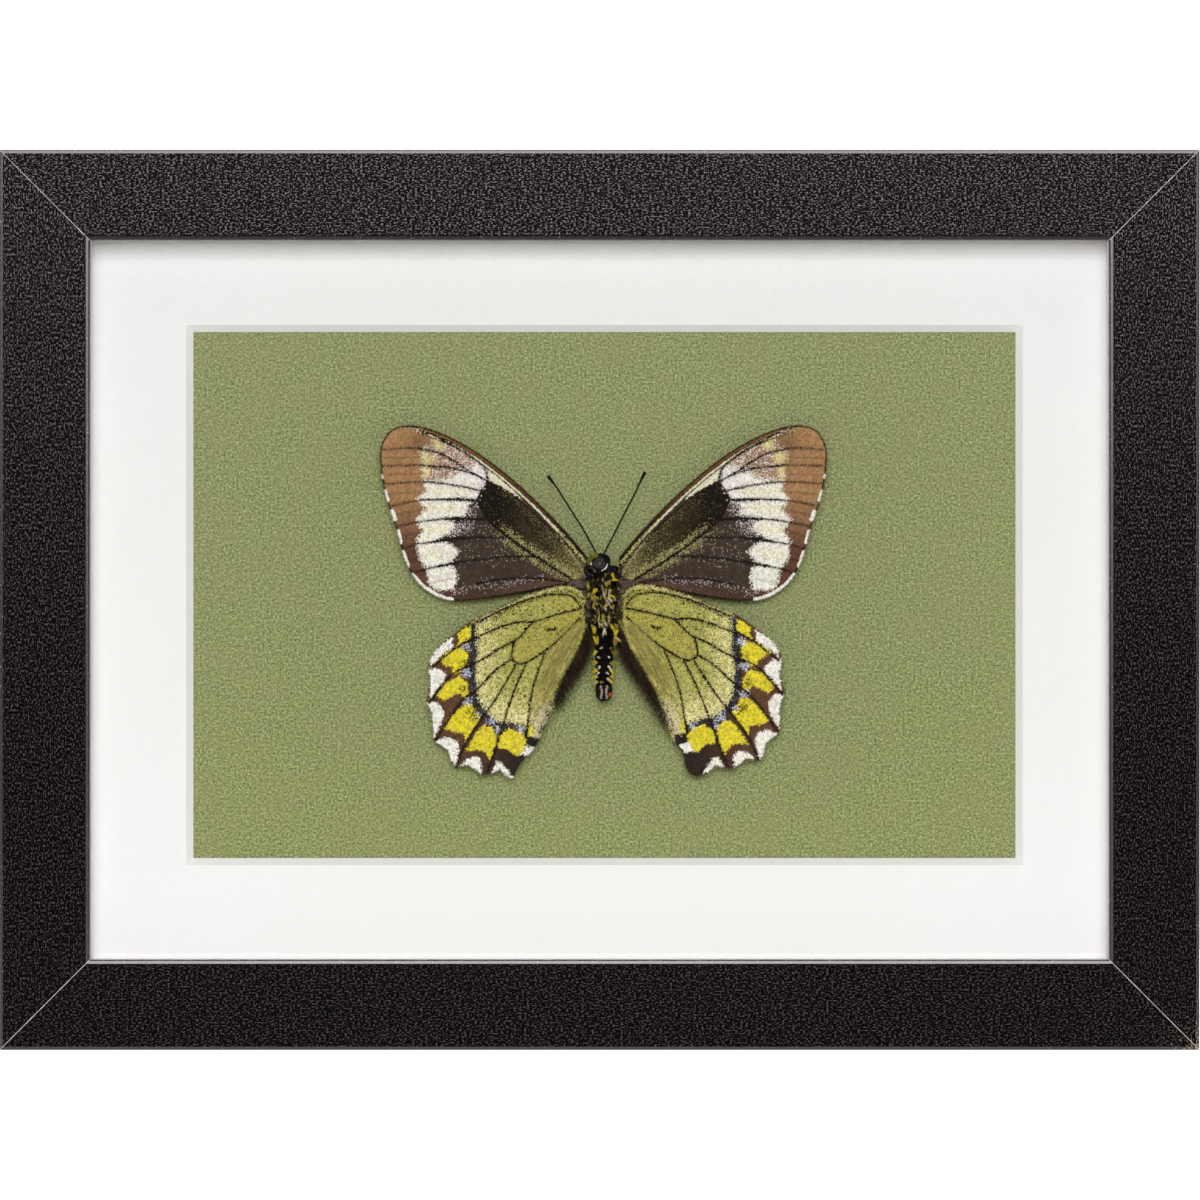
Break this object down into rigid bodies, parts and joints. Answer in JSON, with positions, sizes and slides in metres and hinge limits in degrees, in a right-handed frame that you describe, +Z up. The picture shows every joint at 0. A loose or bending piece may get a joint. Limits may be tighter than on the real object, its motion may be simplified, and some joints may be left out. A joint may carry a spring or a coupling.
{
  "type": "framed butterfly specimen",
  "caption": "Butterfly specimen with spread wings, underside to the viewer, over a green card behind a white bevelled mat in a dark box frame with glass.",
  "frame": {"origin": "middle of the bottom of the frame, on the surface that it stands on", "axes": "+X to the viewer's right along the long side, +Z up, -Y towards the viewer out of the glass"},
  "size_m": [0.24, 0.03, 0.18],
  "materials": {
    "frame_foil": "satin black wood-grain foil over wood",
    "clear_glass": "polished",
    "white_strip": "matte white",
    "white_board": "matte white paper face with a cream core",
    "green_card": "matte, finely speckled green",
    "foam": "white foam between paper faces",
    "hardboard": "brown hardboard",
    "plated_steel": "zinc-plated",
    "dark_chitin": "dark, hairy, satin",
    "forewing_scales": "matte scales in brown, white and charcoal",
    "hindwing_scales": "matte scales in olive, yellow and white"
  },
  "bodies": {
    "root": {"frame_rail_top": "frame_foil", "frame_rail_bottom": "frame_foil", "frame_rail_left": "frame_foil", "frame_rail_right": "frame_foil", "glass": "clear_glass", "spacer_top": "white_strip", "spacer_bottom": "white_strip", "spacer_left": "white_strip", "spacer_right": "white_strip", "mat": "white_board", "mount_card": "green_card", "foam_board": "foam", "back_panel": "hardboard", "back_tab_top_left": "plated_steel", "back_tab_top_right": "plated_steel", "back_tab_bottom_left": "plated_steel", "back_tab_bottom_right": "plated_steel", "back_tab_left": "plated_steel", "back_tab_right": "plated_steel", "hanger": "plated_steel", "hanger_nail_left": "plated_steel", "hanger_nail_right": "plated_steel", "head": "dark_chitin", "proboscis": "dark_chitin", "antenna_left": "dark_chitin", "antenna_right": "dark_chitin", "thorax": "dark_chitin", "abdomen": "dark_chitin", "leg_front_left": "dark_chitin", "leg_front_right": "dark_chitin", "leg_hind_left": "dark_chitin", "leg_hind_right": "dark_chitin", "forewing_left": "forewing_scales", "forewing_right": "forewing_scales", "hindwing_left": "hindwing_scales", "hindwing_right": "hindwing_scales", "specimen_pin": "plated_steel"}
  },
  "joints": []
}
